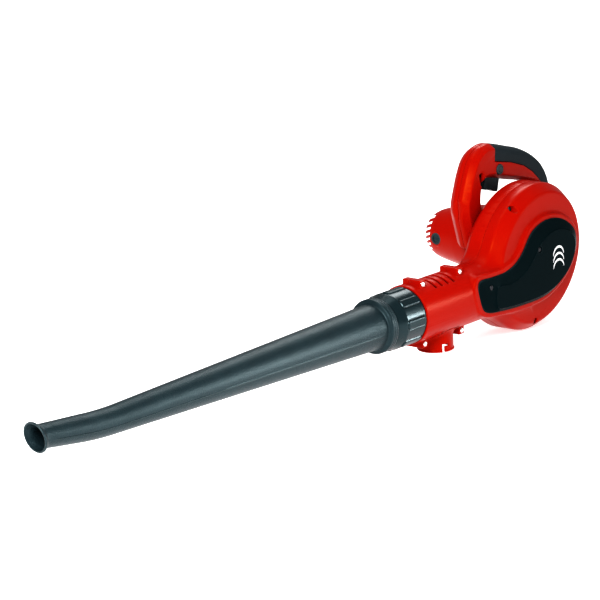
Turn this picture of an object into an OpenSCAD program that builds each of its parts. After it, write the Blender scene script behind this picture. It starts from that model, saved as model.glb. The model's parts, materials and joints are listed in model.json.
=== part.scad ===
// Electric hand-held leaf blower.
// Frame: origin at the centre of the accessory port's rim, -X blowing direction,
// -Y side-cover side, +Y motor side, +Z up. Millimetres.

/* [Duct and port] */
// Outside diameter of the outlet duct
duct_d = 87; // [84:0.5:90]
// Height of the duct's axis above the port rim
duct_z = 65.5; // [64:0.5:68]
// Outside diameter of the accessory port
port_d = 52; // [48:1:56]
// Bore of the accessory port
port_bore_d = 46; // [42:1:48]

/* [Fan housing] */
// Mean radius of the scroll's rim
scroll_r = 112.4; // [110:0.2:114]
// How far the scroll's outline departs from a circle
scroll_swell = 7; // [5:0.5:8]
// Wall thickness of the red mouldings
wall = 3; // [2.4:0.2:3.4]

/* [Motor] */
// Radius of the impeller
impeller_r = 74; // [70:1:75]
// Number of impeller blades
impeller_blades = 9; // [6:1:12]
// Number of cooling fan blades
fan_blades = 11; // [7:1:13]
// Number of armature slots
armature_slots = 12; // [10:1:16]
// Number of commutator bars
commutator_bars = 24; // [16:2:28]

/* [Handle] */
// Width of the handle across Y
handle_w = 36; // [34:1:38]
// Length of the trigger along the grip
trigger_l = 37; // [32:1:38]
// Radius of the lock-on button
lock_r = 8; // [6:0.5:8.5]

/* [Tube] */
// Radius of the tube where it leaves its bead ring
tube_root_r = 33; // [32:0.5:34]
// Radius of the tube just before its flared lip
tube_tip_r = 15.4; // [14.5:0.1:16]
// Angle by which the tip is bent upwards
bend_angle = 6.5; // [4:0.5:8]
// Number of raised grip ribs on the collar
collar_ribs = 8; // [6:1:10]

/* [Hidden] */
$fn = 96;
// Gap between neighbouring bodies that slide or turn past each other
gap = 0.3;
// Radial clearance of a shaft in its bearing
run = 0.05;
// A length that is longer than any part, for cutting halves and through holes
far = 400;

// Rotor axis and scroll centre in the XZ plane
axis_x = 225;
axis_z = 112;
scroll_x = 222;
scroll_z = 94;
scroll_tilt = 33;

// Stations along Y of the scroll: faces, and the edges where the bevels start
face_near = -35;
rim_near = -17;
rim_far = 22;
face_far = 32;
bevel_near = 13;
bevel_far = 8;

// Duct stations along X
duct_r = duct_d / 2;
duct_front = -70;
duct_back = 120;
boss_half = 6;
boss_y = 20;
boss_far = 12;
boss_x = [-50, 37];
boss_z = duct_r + 0.3;

// Side cover stations along Y
platform_y = -41;
cover_y = -47;

// Motor stations along Y
neck_y = 36;
bulkhead_y = 56;
dome_end = 176;
neck_r = 55;
shaft_r = 5;
journal_r = 4;
journal_y = 148;
brush_y = 136;
core_y0 = 82;
core_y1 = 118;
core_r = 24;
stator_r = 40.4;

// Handle stations
handle_y = 54;
grip_skin = 3;
grip_tilt = 15;
trigger_x = 210;
trigger_z = 211;
lock_x = 218;
lock_z = 224;

// Tube stations along X
ring_x1 = -131;
bend_x = -640;
bend_r = 500;
tip_l = 66;
tube_wall = 2.4;
mouth_tilt = 0.25;

red = "#c8140f";
black = "#1c1f22";
grey = "#3a4145";
steel = "#c9ccd0";
copper = "#b4622d";

// ---------- outlines and placing ----------

// Point on a smooth curve through four neighbouring points
function blend_point(a, b, c, d, t) =
    0.5 * (2 * b + (c - a) * t + (2 * a - 5 * b + 4 * c - d) * t * t
           + (3 * b - a - 3 * c + d) * t * t * t);

// Smooth open curve through a list of points
function smooth_path(p, steps = 4) = [
    for (i = [0 : len(p) - 2]) for (k = [0 : steps - 1])
        blend_point(p[max(i - 1, 0)], p[i], p[i + 1], p[min(i + 2, len(p) - 1)], k / steps),
    p[len(p) - 1]];

// Smooth closed curve through a list of points
function smooth_loop(p, steps = 4) = let (n = len(p)) [
    for (i = [0 : n - 1]) for (k = [0 : steps - 1])
        blend_point(p[(i + n - 1) % n], p[i], p[(i + 1) % n], p[(i + 2) % n], k / steps)];

// Closed outline moved inwards by d; a clockwise outline grows instead
function inset(p, d) = let (n = len(p)) [
    for (i = [0 : n - 1])
        let (t = p[(i + 1) % n] - p[(i + n - 1) % n], l = norm(t))
            p[i] + d * [-t[1], t[0]] / l];

// Radius of the scroll's rim at an angle about the scroll's centre
function rim_radius(a) = scroll_r + scroll_swell * cos(2 * (a - scroll_tilt));

// Scroll outline about its own centre, moved inwards by d
function scroll_outline(d) = [
    for (a = [0 : 5 : 355]) (rim_radius(a) - d) * [cos(a), sin(a)]];

// Extrude an XZ outline from y0 to y1
module plate(y0, y1, points)
    translate([0, y1, 0]) rotate([90, 0, 0]) linear_extrude(y1 - y0) polygon(points);

// Place a child, built along +Z about the origin, along +Y on the rotor axis
module on_rotor(y) translate([axis_x, y, axis_z]) rotate([-90, 0, 0]) children();

// Place a child, built along +Z about the origin, along +X on the duct's axis
module on_duct(x) translate([x, 0, duct_z]) rotate([0, 90, 0]) children();

// Place a child in the trigger's frame: X along the grip, Z square to it
module on_grip() translate([trigger_x, handle_y, trigger_z]) rotate([0, grip_tilt, 0]) children();

module tube_piece(r_out, r_in, h) difference() {
    cylinder(r = r_out, h = h);
    translate([0, 0, -1]) cylinder(r = r_in, h = h + 2);
}

// Repeat a child n times about the Z axis
module around(n, start = 0) for (i = [0 : n - 1]) rotate([0, 0, start + 360 * i / n]) children();

module half_space(side) translate([-far / 2, side < 0 ? -far : 0, -far / 2])
    cube([2 * far, far, 2 * far]);

// Pan-head screw along +Z: head below the origin, shank above it
module pan_screw(head_r, head_h, shank_r, shank_l) difference() {
    union() {
        translate([0, 0, -head_h]) cylinder(r = head_r, h = head_h);
        cylinder(r = shank_r, h = shank_l);
    }
    for (a = [0, 90]) rotate([0, 0, a])
        translate([-head_r * 0.55, -0.4, -head_h - 1]) cube([head_r * 1.1, 0.8, 1 + head_h * 0.6]);
}

// ---------- fan housing ----------

// Web that fairs the duct into the scroll
fairing = [[46, 109], [72, 109], [96, 112], [110, 120], [122, 134], [200, 134], [200, -15],
           [172, -12], [144, -3], [119, 8], [94, 17], [66, 22], [46, 22]];
fairing_inner = [[49, 106], [73, 106], [95, 109], [108, 117], [120, 131], [196, 131], [196, -11],
                 [173, -9], [145, 0], [120, 11], [95, 20], [66, 25], [49, 25]];

module scroll_body(inset_by) {
    near = rim_near;
    h_near = rim_near - face_near - inset_by;
    h_far = face_far - rim_far - inset_by;
    translate([scroll_x, rim_far, scroll_z]) rotate([90, 0, 0])
        linear_extrude(rim_far - near) polygon(scroll_outline(inset_by));
    translate([scroll_x, near, scroll_z]) rotate([90, 0, 0])
        linear_extrude(h_near, scale = 1 - bevel_near / scroll_r) polygon(scroll_outline(inset_by));
    translate([scroll_x, rim_far, scroll_z]) mirror([0, 1, 0]) rotate([90, 0, 0])
        linear_extrude(h_far, scale = 1 - bevel_far / scroll_r) polygon(scroll_outline(inset_by));
}

module housing_outer() {
    scroll_body(0);
    plate(-34, 30, fairing);
    on_duct(duct_front) cylinder(r = duct_r, h = duct_back - duct_front);
    for (x = boss_x, s = [-1, 1])
        translate([x - boss_half, -boss_y, duct_z + s * boss_z - boss_half])
            cube([2 * boss_half, boss_y + boss_far, 2 * boss_half]);
}

module housing_inner() {
    scroll_body(wall);
    plate(-34 + wall, 30 - wall, fairing_inner);
    on_duct(duct_front - 1) cylinder(r = duct_r - wall, h = duct_back - duct_front);
}

// Screws near the scroll's rim: angle about its centre, distance inside the rim, recess floor
rim_screws = [[123.5, 5.5, -17], [20, 8.2, -23], [-101, 15, -29]];
module rim_place(p) let (r = rim_radius(p[0]) - p[1])
    translate([scroll_x + r * cos(p[0]), 0, scroll_z + r * sin(p[0])])
        rotate([-90, 0, 0]) children();
module at_rim_screws() for (p = rim_screws) rim_place(p) children();

// Screw columns joining the two shells inside the scroll's rim
module rim_columns() intersection() {
    at_rim_screws() translate([0, 0, face_near + 3]) cylinder(r = 7.5, h = face_far - face_near - 6);
    scroll_body(0.5);
}

module at_duct_screws() for (x = boss_x, s = [-1, 1])
    translate([x, -boss_y, duct_z + s * boss_z]) rotate([-90, 0, 0]) children();

cover_screw_places = [[203, 111], [80, 79]];
module at_cover_screws() for (p = cover_screw_places)
    translate([p[0], cover_y, p[1]]) rotate([-90, 0, 0]) children();

// Screws that hold the bearing plate and the far shell together, about the rotor axis
module at_motor_screws() for (a = [30, 150, 240, 300]) rotate([0, 0, a])
    translate([59, 0, 0]) children();

cover_points = [[240, 152], [212, 150], [186, 139], [166, 117], [146, 102], [118, 94], [88, 93],
                [60, 94], [52, 87], [52, 72], [60, 52], [76, 41], [118, 36], [160, 34], [198, 34],
                [230, 38], [260, 50], [284, 67], [300, 88], [304, 110], [296, 128], [270, 145]];
cover_outline = smooth_loop(cover_points, 2);
platform_outline = inset(cover_outline, -7);

// Circumferential vent slots from the duct's near side over its crown
module duct_vents() for (i = [0 : 3]) translate([-28 + i * 14, 0, duct_z])
    rotate([0, 90, 0]) rotate([0, 0, 168]) rotate_extrude(angle = 49)
        translate([duct_r - 6, 0]) square([12, 4.5]);

module near_housing() color(red) {
    difference() {
        intersection() {
            union() {
                difference() {
                    union() {
                        housing_outer();
                        plate(platform_y, face_near + 1, platform_outline);
                    }
                    housing_inner();
                }
                rim_columns();
            }
            half_space(-1);
        }
        at_rim_screws() translate([0, 0, -60]) cylinder(r = 2.3, h = 80);
        for (p = rim_screws) rim_place(p) translate([0, 0, -60]) cylinder(r = 4.8, h = 60 + p[2]);
        at_duct_screws() translate([0, 0, -5]) cylinder(r = 2.15, h = 40);
        at_cover_screws() cylinder(r = 1.9, h = 14);
        duct_vents();
    }
}

module far_housing() color(red) {
    difference() {
        intersection() {
            union() {
                difference() {
                    housing_outer();
                    housing_inner();
                }
                rim_columns();
            }
            half_space(1);
        }
        on_rotor(0) cylinder(r = 50, h = 60);
        at_rim_screws() translate([0, 0, -1]) cylinder(r = 1.9, h = 22);
        at_duct_screws() translate([0, 0, 19]) cylinder(r = 1.95, h = 12);
        on_rotor(0) at_motor_screws() translate([0, 0, 20]) cylinder(r = 1.9, h = 20);
        duct_vents();
    }
}

// Two L-shaped bayonet slots, open at the rim
module port_slots() around(2) rotate([0, 0, -90]) {
    rotate([0, 0, -4]) rotate_extrude(angle = 8) translate([port_bore_d / 2 - 4, -1]) square([12, 13]);
    rotate([0, 0, -4]) rotate_extrude(angle = 24)
        translate([port_bore_d / 2 - 4, 8.3]) square([12, 3.7]);
}

module accessory_port() color(red) difference() {
    union() {
        cylinder(r = port_d / 2, h = 34);
        cylinder(r = port_d / 2 + 1.2, h = 2.4);
    }
    translate([0, 0, -1]) cylinder(r = port_bore_d / 2, h = 18.6);
    on_duct(-60) cylinder(r = duct_r + 0.02, h = 120);
    rotate([0, 0, -25]) port_slots();
}

// Cover outline moved inwards by d, extruded from y0 to y1
module cover_recess(y0, y1, d) translate([0, y1, 0]) rotate([90, 0, 0])
    linear_extrude(y1 - y0) offset(delta = -d) polygon(cover_outline);

module side_cover() color(black) difference() {
    plate(cover_y, platform_y, cover_outline);
    cover_recess(cover_y - 1, cover_y + 0.8, 12);
    cover_recess(platform_y - 2.6, platform_y + 1, 6);
    translate([48, -duct_r - 0.3, duct_z - 17]) cube([26, 10, 34]);
    at_cover_screws() translate([0, 0, -1]) cylinder(r = 4.4, h = 3.6);
    at_cover_screws() translate([0, 0, -1]) cylinder(r = 2.1, h = 20);
}

// Raised mark of three curved air streams on the cover's face
module cover_badge() color("#d8dadc") for (i = [0 : 2])
    translate([250, cover_y + 0.78, 94 - 10 * i]) rotate([90, 0, 0]) linear_extrude(0.5)
        difference() {
            circle(r = 14);
            translate([0, -3]) circle(r = 13.6);
            translate([-20, -32]) square([40, 32]);
        }

// ---------- motor ----------

module intake_grille() color(red) on_rotor(neck_y) difference() {
    tube_piece(neck_r, neck_r - 3, bulkhead_y - neck_y);
    around(36) translate([neck_r - 6, -1.7, 3]) cube([12, 3.4, bulkhead_y - neck_y - 6]);
}

module bearing_plate() color("#9a9da1") on_rotor(14) difference() {
    union() {
        cylinder(r = 17, h = 22);
        translate([0, 0, 18]) tube_piece(63, 46, 4);
        around(4) translate([15, -4, 17]) cube([33, 8, 5]);
    }
    translate([0, 0, -1]) cylinder(r = 13.02, h = 9);
    cylinder(r = 8, h = 40);
    at_motor_screws() translate([0, 0, 10]) cylinder(r = 2.2, h = 20);
}

module front_bearing() color(steel) on_rotor(14) tube_piece(13, shaft_r + run, 8);

module rear_bearing() color(steel) on_rotor(journal_y + 1) tube_piece(11, journal_r + run, 7);

module bearing_cushion() color(black) on_rotor(journal_y + 1) tube_piece(13, 11.02, 7);

// Drum profile: distance along the axis and outside radius
drum = [[56, 54], [60, 53.5], [100, 48.5], [122, 44.5], [132, 42.5], [146, 39.5], [153, 37],
        [160, 33.5], [166, 29], [171, 23.5], [174, 18], [176, 10]];

// Solid of revolution of the drum, d inside its skin, between two distances along the axis
module drum_solid(d, y0, y1) intersection() {
    rotate_extrude() polygon(concat([[0, drum[0][0] - 1]],
        [[drum[0][1] - d, drum[0][0] - 1]],
        [for (p = drum) [p[1] - d, p[0] - (p[0] > 150 ? d : 0)]],
        [[0, dome_end - d]]));
    translate([0, 0, y0]) cylinder(r = 100, h = y1 - y0);
}

module brush_places() for (s = [0, 180]) rotate([0, 0, s])
    translate([0, 0, brush_y]) rotate([0, 90, 0]) children();

module motor_housing() color(red) on_rotor(0) difference() {
    union() {
        difference() {
            drum_solid(0, bulkhead_y, dome_end);
            drum_solid(wall, bulkhead_y + 4, dome_end - 1);
        }
        translate([0, 0, 84]) intersection() {
            tube_piece(46, stator_r + 0.05, 32);
            translate([0, 0, -84]) drum_solid(0.5, 70, 130);
        }
        brush_places() translate([0, 0, 29]) cylinder(r = 11, h = 13.6);
        translate([0, 0, journal_y]) cylinder(r = 16, h = 10);
        translate([0, 0, 156]) intersection() {
            cylinder(r = 36, h = 3);
            translate([0, 0, -156]) drum_solid(0.5, 150, 165);
        }
    }
    translate([0, 0, bulkhead_y - 1]) cylinder(r = 20, h = 6);
    translate([0, 0, bulkhead_y - 1]) around(8, 22.5) translate([35, 0, 0]) cylinder(r = 5, h = 6);
    translate([0, 0, bulkhead_y - 1]) around(4) translate([44, 0, 0]) cylinder(r = 2.1, h = 6);
    brush_places() translate([0, 0, 20]) cylinder(r = 9.3, h = 30);
    translate([0, 0, journal_y - 1]) cylinder(r = 13.02, h = 9.02);
    translate([0, 0, journal_y - 1]) cylinder(r = 6, h = 12.5);
    translate([0, 0, 150]) around(6) translate([24.5, 0, 0]) cylinder(r = 5.5, h = 12);
    for (i = [-2 : 2]) translate([-60, i * 9.3 - 2.3, 163]) cube([120, 4.6, 20]);
}

module coil_sector(r0, r1, half, h) for (s = [0, 180]) rotate([0, 0, s - half])
    rotate_extrude(angle = 2 * half) translate([r0, 0]) square([r1 - r0, h]);

module stator_core() color("#7d8083") on_rotor(core_y0) difference() {
    tube_piece(stator_r, core_r + 0.8, core_y1 - core_y0);
    translate([0, 0, -1]) coil_sector(27, 36, 28, 50);
}

module field_coils() color(copper) on_rotor(core_y0 - 6) coil_sector(27.3, 35.7, 27, 48);

module brush_holders() color("#b08d3c") on_rotor(0) brush_places() translate([0, 0, 14.5])
    difference() {
        translate([-6, -4.5, 0]) cube([12, 9, 22.5]);
        translate([-4.7, -3.2, -1]) cube([9.4, 6.4, 30]);
    }

module carbon_brushes() color("#2a2a2c") on_rotor(0) brush_places() translate([-4.6, -3.1, 13.3])
    cube([9.2, 6.2, 14]);

module brush_springs() color(steel) on_rotor(0) brush_places() translate([0, 0, 27.4])
    tube_piece(2.8, 2, 10);

module brush_caps() color(black) on_rotor(0) brush_places() translate([0, 0, 37.5]) difference() {
    cylinder(r = 9.25, h = 4.4);
    translate([-6, -1, 2.8]) cube([12, 2, 3]);
    translate([0, 0, 3.4]) cylinder(r = 6.6, h = 2);
}

module motor_shaft() color(steel) {
    on_rotor(-29.5) cylinder(r = shaft_r, h = journal_y + 29.5);
    on_rotor(journal_y) cylinder(r = journal_r, h = 7);
}

module armature_core() color("#85888c") on_rotor(core_y0) difference() {
    tube_piece(core_r, shaft_r + 0.02, core_y1 - core_y0);
    around(armature_slots) translate([core_r - 8, -1.2, -1]) cube([10, 2.4, 40]);
}

module armature_windings() color(copper) on_rotor(0) {
    translate([0, 0, core_y0 - 6]) tube_piece(20, 8, 6);
    translate([0, 0, core_y1]) tube_piece(20, 8, 6);
    around(armature_slots) translate([core_r - 7.6, -1, core_y0]) cube([6.6, 2, core_y1 - core_y0]);
}

module commutator() color(copper) on_rotor(brush_y - 8) difference() {
    tube_piece(13, shaft_r + 0.02, 16);
    around(commutator_bars) translate([12, -0.2, -1]) cube([2, 0.4, 20]);
}

module cooling_fan() color(black) on_rotor(63) difference() {
    union() {
        cylinder(r = 38, h = 2);
        cylinder(r = 9, h = 11);
        around(fan_blades) translate([8, -0.8, 0]) cube([29, 1.6, 10]);
    }
    translate([0, 0, -1]) cylinder(r = shaft_r + 0.02, h = 20);
}

module shaft_spacer() color(steel) on_rotor(6) tube_piece(7.5, shaft_r + 0.02, 8 - gap);

// Radial impeller: back plate, curved blades and eye ring
impeller_y = -22;
blade_h = 23;
module impeller() color("#26292c") on_rotor(impeller_y) difference() {
    union() {
        cylinder(r = impeller_r, h = 2);
        cylinder(r = 13, h = 28);
        intersection() {
            around(impeller_blades) translate([38, 0, 1]) rotate([0, 0, 32])
                translate([0, -1, 0]) cube([60, 2, blade_h + 0.5]);
            cylinder(r = impeller_r - 1, h = 60);
        }
        translate([0, 0, 1 + blade_h]) tube_piece(impeller_r, 50, 2);
    }
    translate([0, 0, -1]) cylinder(r = shaft_r + 0.02, h = 40);
}

module impeller_washer() color(steel) on_rotor(impeller_y - 1.5) tube_piece(11, shaft_r + 0.02, 1.5);

module impeller_nut() color(steel) on_rotor(impeller_y - 6.5) difference() {
    cylinder(r = 9, h = 5, $fn = 6);
    translate([0, 0, -1]) cylinder(r = shaft_r + 0.02, h = 8);
}

// ---------- handle ----------

handle_outer_points = [[148, 113], [135, 158], [132, 179], [138, 200], [143, 213], [149, 227],
    [158, 243], [167, 253], [178, 260], [190, 264], [206, 265], [230, 260], [256, 253], [282, 246],
    [306, 236], [327, 223], [341, 209], [351, 193], [357, 174], [360, 154], [357, 134], [345, 116],
    [322, 106], [290, 100], [262, 88]];
handle_inner_points = [[262, 146], [290, 142], [316, 144], [330, 154], [332, 168], [322, 181],
    [302, 189], [276, 196], [248, 202], [216, 210], [196, 213], [184, 210], [177, 198], [175, 180],
    [178, 164], [190, 152]];
handle_outline = concat(smooth_path(handle_outer_points, 2), smooth_path(handle_inner_points, 2),
                        [[172, 134], [170, 112]]);

// The D as a solid band, d inside its outline, between two stations along Y
module handle_band(d, y0, y1) plate(y0, y1, inset(handle_outline, -d));

module handle_solid() handle_band(0, handle_y - handle_w / 2, handle_y + handle_w / 2);

// Space that the fan housing, grille and motor drum take out of the handle's feet
module motor_clearance() on_rotor(20) cylinder(r = neck_r + 0.2, h = 60);

grip_zone = [[378, 150], [344, 166], [328, 185], [304, 206], [282, 219], [248, 230],
             [207, 238], [208, 250], [209, 300], [300, 300], [420, 240], [420, 150]];

module soft_grip() color(grey) difference() {
    intersection() {
        handle_solid();
        plate(0, 100, grip_zone);
    }
    handle_band(grip_skin, handle_y - handle_w / 2 + grip_skin, handle_y + handle_w / 2 - grip_skin);
}

module trigger_opening() on_grip()
    translate([-trigger_l / 2 + 3, -7.4, -14]) cube([trigger_l + 1.6, 14.8, 22]);

module lock_place(y) translate([lock_x, y, lock_z]) rotate([-90, 0, 0]) children();

handle_screw_places = [[156, 196], [188, 244], [288, 204], [348, 148]];
module at_handle_screws() for (p = handle_screw_places)
    translate([p[0], handle_y + handle_w / 2 - 4, p[1]]) rotate([90, 0, 0]) children();

gland_at = [346, handle_y, 112];
gland_tilt = 150;
module on_gland() translate(gland_at) rotate([0, gland_tilt, 0]) children();

// One half of the handle: a shell with screw posts, between two stations along Y
module handle_half(y0, y1, wall_y0, wall_y1) difference() {
    union() {
        difference() {
            handle_band(0, y0, y1);
            handle_band(6.2, wall_y0, wall_y1);
        }
        for (p = handle_screw_places) translate([p[0], y0 + 1, p[1]])
            rotate([-90, 0, 0]) cylinder(r = 4.5, h = y1 - y0 - 1);
    }
    difference() {
        plate(0, 100, grip_zone);
        handle_band(grip_skin, handle_y - handle_w / 2 + grip_skin,
                    handle_y + handle_w / 2 - grip_skin);
    }
    motor_clearance();
    trigger_opening();
    on_gland() translate([0, 0, -14]) cylinder(r = 8.02, h = 40);
    at_handle_screws() cylinder(r = 1.9, h = handle_w - 10);
    at_handle_screws() translate([0, 0, -20]) cylinder(r = 4.2, h = 20);
}

// Slotted recess at the inner corner of the strut
module strap_slot() translate([171, 30, 211]) rotate([0, 12, 0]) cube([7, 9, 14]);

module handle_near() color(red) difference() {
    handle_half(handle_y - handle_w / 2, handle_y, handle_y - handle_w / 2 + wall, handle_y + 1);
    lock_place(0) cylinder(r = lock_r + run, h = 46);
    strap_slot();
}

module handle_far() color(red)
    handle_half(handle_y, handle_y + handle_w / 2, handle_y - 1, handle_y + handle_w / 2 - wall);

module switch_body() color(black) on_grip() translate([-16, -3, 15.5]) cube([32, 10, 12.5]);

module capacitor() color("#d9c24a") translate([296, handle_y - 6, 203]) rotate([0, 24, 0])
    cube([22, 12, 12]);

// Two leads from the switch down the strut into the motor's bulkhead
module motor_leads() color("#7a2d22") for (s = [-1, 1]) translate([0, handle_y + 2.2 * s, 0]) {
    translate([165 + 2 * s, 0, 150]) cylinder(r = 1.2, h = 68);
    translate([165 + 2 * s, 0, 218]) rotate([0, 68, 0]) cylinder(r = 1.2, h = 30);
}

module trigger() color(black) on_grip() {
    l = trigger_l;
    translate([0, 7, 0]) rotate([90, 0, 0]) linear_extrude(14)
        polygon([[-l / 2 + 4, 8], [-l / 2 + 4, -17], [-l / 2 + 6, -19], [l / 2 + 2, -19],
                 [l / 2 + 4, -10], [l / 2 + 4, 8]]);
    translate([-l / 2 + 1.6, -8.6, 7.6]) cube([l + 4.4, 17.2, 2.4]);
}

module trigger_spring() color(steel) on_grip() translate([0, 0, 10.1]) tube_piece(3, 2.2, 5.3);

module lock_button() color(grey) lock_place(handle_y - handle_w / 2 - 3) cylinder(r = lock_r, h = 9);

module lock_spring() color(steel) lock_place(handle_y - handle_w / 2 + 6.1)
    tube_piece(5.4, 4.4, 3.1);

module cord_inlet() color(black) on_gland() difference() {
    union() {
        translate([0, 0, -14]) cylinder(r = 8, h = 22);
        translate([0, 0, 8]) cylinder(r1 = 8, r2 = 6, h = 12);
    }
    translate([0, 0, -15]) cylinder(r = 3.6, h = 40);
}

// ---------- tube ----------

module tube_seal() color("#4a4a48") on_duct(duct_front + 12) tube_piece(duct_r - wall - 0.02, 37.4, 6);

// Collar: spigot inside the duct, ribbed grip, cone and front spigot
module tube_collar() color(black) difference() {
    union() {
        on_duct(duct_front - 10) cylinder(r = 37.3, h = 36);
        on_duct(-112) cylinder(r = 41.5, h = 112 + duct_front - gap);
        on_duct(-130) cylinder(r1 = 35.5, r2 = 41.5, h = 18);
        on_duct(-166) cylinder(r = 31.4, h = 36);
        on_duct(-110) around(collar_ribs, 22.5) translate([40.4, -4.5, 0]) cube([2.7, 9, 32]);
    }
    on_duct(-170) cylinder(r = 28.6, h = 140);
}

// Tube: bead ring and socket, straight taper, upward bend, tip and flared lip. It is one skin
// swept through rings, each given as [distance along the tube from the bead ring, radius].
straight_l = ring_x1 - bend_x;
bend_l = bend_r * bend_angle * PI / 180;
tube_l = straight_l + bend_l + tip_l;
flare = 4.2;
bend_start_r = tube_tip_r + 2.7;
socket_r = 32;
socket_l = 38;
tube_rings = concat(
    [[0, 39], [1, 39.6], [12, 39.6], [13.5, 38.6], [14.5, tube_root_r]],
    [[straight_l, bend_start_r]],
    [for (k = [1 : 5]) [straight_l + bend_l * k / 5, bend_start_r - 0.15 * k]],
    [[tube_l, tube_tip_r], [tube_l + 4, tube_tip_r + 0.45 * flare],
     [tube_l + 7, tube_tip_r + flare], [tube_l + 9.5, tube_tip_r + flare],
     [tube_l + 9.5, tube_tip_r + flare - tube_wall], [tube_l + 4, tube_tip_r - 0.6],
     [tube_l, tube_tip_r - tube_wall]],
    [for (k = [5 : -1 : 1]) [straight_l + bend_l * k / 5, bend_start_r - 0.15 * k - tube_wall]],
    [[straight_l, bend_start_r - tube_wall], [socket_l + 4, tube_root_r - tube_wall - 0.9],
     [socket_l, socket_r], [8, socket_r], [0, 37.8]]);
tube_sides = 40;

// Centre and tilt of the tube at a distance s along it
function tube_at(s) = let (b = min(max(s - straight_l, 0), bend_l), a = b / bend_r * 180 / PI,
                           t = max(s - straight_l - bend_l, 0))
    [ring_x1 - min(s, straight_l) - bend_r * sin(a) - t * cos(a),
     duct_z + bend_r * (1 - cos(a)) + t * sin(a), a];

module blower_tube() color(black) {
    n = len(tube_rings);
    polyhedron(
        points = [for (q = tube_rings) let (c = tube_at(q[0])) for (k = [0 : tube_sides - 1])
            let (u = q[1] * cos(360 * k / tube_sides), v = q[1] * sin(360 * k / tube_sides),
                 w = q[0] > tube_l - 1 ? mouth_tilt * v : 0)
            [c[0] + v * sin(c[2]) - w * cos(c[2]), u, c[1] + v * cos(c[2]) + w * sin(c[2])]],
        faces = [for (i = [0 : n - 1], k = [0 : tube_sides - 1])
            let (j = (i + 1) % n, m = (k + 1) % tube_sides)
            for (f = [[i * tube_sides + k, i * tube_sides + m, j * tube_sides + m],
                      [i * tube_sides + k, j * tube_sides + m, j * tube_sides + k]]) f]);
}

// ---------- fasteners ----------

module duct_screws() color(steel) at_duct_screws() pan_screw(4, 2.6, 1.93, 30);

module housing_screws() color("#55585b") for (p = rim_screws) rim_place(p)
    translate([0, 0, p[2]]) pan_screw(3.8, 2.4, 1.88, 19 - p[2]);

module cover_screws() color("#55585b") at_cover_screws() translate([0, 0, 2.6])
    pan_screw(3.6, 2, 1.88, 11);

module handle_screws() color("#55585b") at_handle_screws() pan_screw(3.8, 2.2, 1.88, 24);

module motor_screws() color("#55585b") on_rotor(36) at_motor_screws()
    rotate([180, 0, 0]) pan_screw(3.4, 2.2, 1.88, 12);

near_housing();
far_housing();
accessory_port();
side_cover();
cover_badge();
intake_grille();
bearing_plate();
front_bearing();
rear_bearing();
bearing_cushion();
motor_housing();
stator_core();
field_coils();
brush_holders();
carbon_brushes();
brush_springs();
brush_caps();
motor_shaft();
armature_core();
armature_windings();
commutator();
cooling_fan();
shaft_spacer();
impeller();
impeller_washer();
impeller_nut();
handle_near();
handle_far();
soft_grip();
switch_body();
capacitor();
motor_leads();
trigger();
trigger_spring();
lock_button();
lock_spring();
cord_inlet();
tube_seal();
tube_collar();
blower_tube();
duct_screws();
housing_screws();
cover_screws();
handle_screws();
motor_screws();
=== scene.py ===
"""Leaf blower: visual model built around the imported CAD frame. Lengths here are in millimetres
in the CAD frame (-X blows, -Y side cover, +Y motor, +Z up) and become metres in each mesh."""
import json
import math

import bmesh
import bpy
import numpy as np
from mathutils import Matrix, Vector


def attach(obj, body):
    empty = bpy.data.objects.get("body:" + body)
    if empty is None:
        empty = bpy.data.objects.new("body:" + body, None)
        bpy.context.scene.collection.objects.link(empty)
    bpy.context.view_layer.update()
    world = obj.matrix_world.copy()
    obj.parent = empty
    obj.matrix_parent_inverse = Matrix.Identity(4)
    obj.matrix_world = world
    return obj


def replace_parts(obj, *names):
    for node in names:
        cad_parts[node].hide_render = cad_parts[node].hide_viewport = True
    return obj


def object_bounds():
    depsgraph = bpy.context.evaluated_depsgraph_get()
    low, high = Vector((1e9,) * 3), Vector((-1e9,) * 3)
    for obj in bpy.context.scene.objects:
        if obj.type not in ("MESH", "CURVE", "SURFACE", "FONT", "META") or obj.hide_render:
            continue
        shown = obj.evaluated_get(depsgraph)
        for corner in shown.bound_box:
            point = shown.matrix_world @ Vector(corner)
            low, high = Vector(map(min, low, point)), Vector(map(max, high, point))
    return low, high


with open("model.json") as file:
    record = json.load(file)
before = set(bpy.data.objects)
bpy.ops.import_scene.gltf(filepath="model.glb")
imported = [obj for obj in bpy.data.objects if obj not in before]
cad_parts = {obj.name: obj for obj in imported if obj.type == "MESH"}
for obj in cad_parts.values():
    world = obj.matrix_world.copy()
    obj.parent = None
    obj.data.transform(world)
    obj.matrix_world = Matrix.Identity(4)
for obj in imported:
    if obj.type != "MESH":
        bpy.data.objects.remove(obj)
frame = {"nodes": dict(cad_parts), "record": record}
CAD_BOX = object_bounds()
MM = 0.001

# ---------------------------------------------------------------- driving values

# Motor axis, then the scroll: centre, mean radius, swell and the direction that it swells in
AXIS_X, AXIS_Z = 225.0, 112.0
SCROLL_X, SCROLL_Z = 222.0, 94.0
SCROLL_R, SCROLL_SWELL, SCROLL_TILT = 112.4, 7.0, math.radians(33)
# Planes across the scroll from near to far, and how far each bevel runs in from the rim
FACE_NEAR, RIM_NEAR, RIM_FAR, FACE_FAR = -35.0, -17.0, 22.0, 32.0
BEVEL_NEAR, BEVEL_FAR = 13.0, 8.0
# Outlet duct, and the distance from its middle to its screw bosses
DUCT_R, DUCT_Z, DUCT_FRONT, DUCT_BACK = 43.5, 65.5, -70.0, 175.0
DUCT_BOSS_RISE = DUCT_R + 0.3
DUCT_BOSS_NEAR, DUCT_BOSS_FAR, DUCT_BOSS_HALF = -20.0, 12.0, 6.0
WALL = 3.0
# Half the gap between the two housing shells, and between the two handle shells
SEAM, HANDLE_SEAM = 0.12, 0.1
RECESS_R = 4.8
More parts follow.
